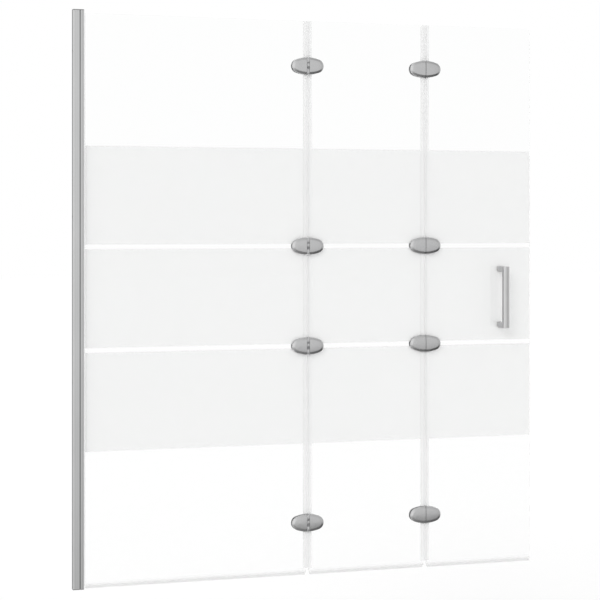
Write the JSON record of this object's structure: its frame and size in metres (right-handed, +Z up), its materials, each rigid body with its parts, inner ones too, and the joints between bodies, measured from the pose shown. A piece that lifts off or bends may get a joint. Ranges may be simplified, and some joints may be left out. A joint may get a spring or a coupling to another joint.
{
  "type": "folding bath screen",
  "caption": "Folding glass bath screen: a fixed glass in a wall profile and narrower glasses that fold on it in zigzag on oval hinges, with a bar handle.",
  "frame": {"origin": "the wall face at the foot of the wall profile, in the middle plane of the glass", "axes": "+X along the closed screen away from the wall, +Y to the bath side (the handle stands on -Y), +Z up"},
  "size_m": [1.2, 0.0607, 1.4],
  "materials": {
    "aluminium": "satin anodised",
    "hinge_metal": "satin plated casting",
    "handle_metal": "satin",
    "steel": "plain",
    "frosted_glass": "clear with etched bands",
    "clear_seal": "clear soft plastic",
    "dark_pad": "matt",
    "nylon": "plain"
  },
  "bodies": {
    "wall_side": {"wall_channel": "aluminium", "glass_channel": "aluminium", "channel_gaskets": "clear_seal", "profile_top_cap": "aluminium", "profile_bottom_cap": "aluminium", "lock_screws": "steel", "fixed_glass": "frosted_glass", "fixed_seam_seal": "clear_seal", "fixed_bottom_seal": "clear_seal", "inner_top_wall_leaf": "hinge_metal", "inner_upper_wall_leaf": "hinge_metal", "inner_lower_wall_leaf": "hinge_metal", "inner_bottom_wall_leaf": "hinge_metal", "inner_wall_back_plates": "hinge_metal", "inner_pins": "steel", "inner_bearing_washers": "dark_pad", "inner_wall_clamp_screws": "steel", "inner_wall_pads": "dark_pad", "inner_wall_bushes": "nylon"},
    "middle_panel": {"middle_glass": "frosted_glass", "middle_inner_seal": "clear_seal", "middle_outer_seal": "clear_seal", "middle_bottom_seal": "clear_seal", "inner_top_fold_leaf": "hinge_metal", "inner_upper_fold_leaf": "hinge_metal", "inner_lower_fold_leaf": "hinge_metal", "inner_bottom_fold_leaf": "hinge_metal", "inner_fold_back_plates": "hinge_metal", "inner_fold_clamp_screws": "steel", "inner_fold_pads": "dark_pad", "inner_fold_bushes": "nylon", "outer_top_wall_leaf": "hinge_metal", "outer_upper_wall_leaf": "hinge_metal", "outer_lower_wall_leaf": "hinge_metal", "outer_bottom_wall_leaf": "hinge_metal", "outer_wall_front_plates": "hinge_metal", "outer_wall_clamp_screws": "steel", "outer_wall_pads": "dark_pad", "outer_wall_bushes": "nylon"},
    "end_panel": {"end_glass": "frosted_glass", "end_seam_seal": "clear_seal", "end_bottom_seal": "clear_seal", "handle_bar": "handle_metal", "handle_posts": "handle_metal", "handle_washers": "clear_seal", "handle_screws": "steel", "handle_caps": "handle_metal", "outer_top_fold_leaf": "hinge_metal", "outer_upper_fold_leaf": "hinge_metal", "outer_lower_fold_leaf": "hinge_metal", "outer_bottom_fold_leaf": "hinge_metal", "outer_fold_front_plates": "hinge_metal", "outer_pins": "steel", "outer_bearing_washers": "dark_pad", "outer_fold_clamp_screws": "steel", "outer_fold_pads": "dark_pad", "outer_fold_bushes": "nylon"}
  },
  "joints": [
    {"name": "inner_fold", "type": "hinge", "parent": "wall_side", "child": "middle_panel", "pos_m": [0.592, -0.0103, 0], "axis": [0, 0, -1], "range_deg": [0, 165]},
    {"name": "outer_fold", "type": "hinge", "parent": "middle_panel", "child": "end_panel", "pos_m": [0.907, 0.0103, 0], "axis": [0, 0, 1], "range_deg": [0, 180]}
  ]
}
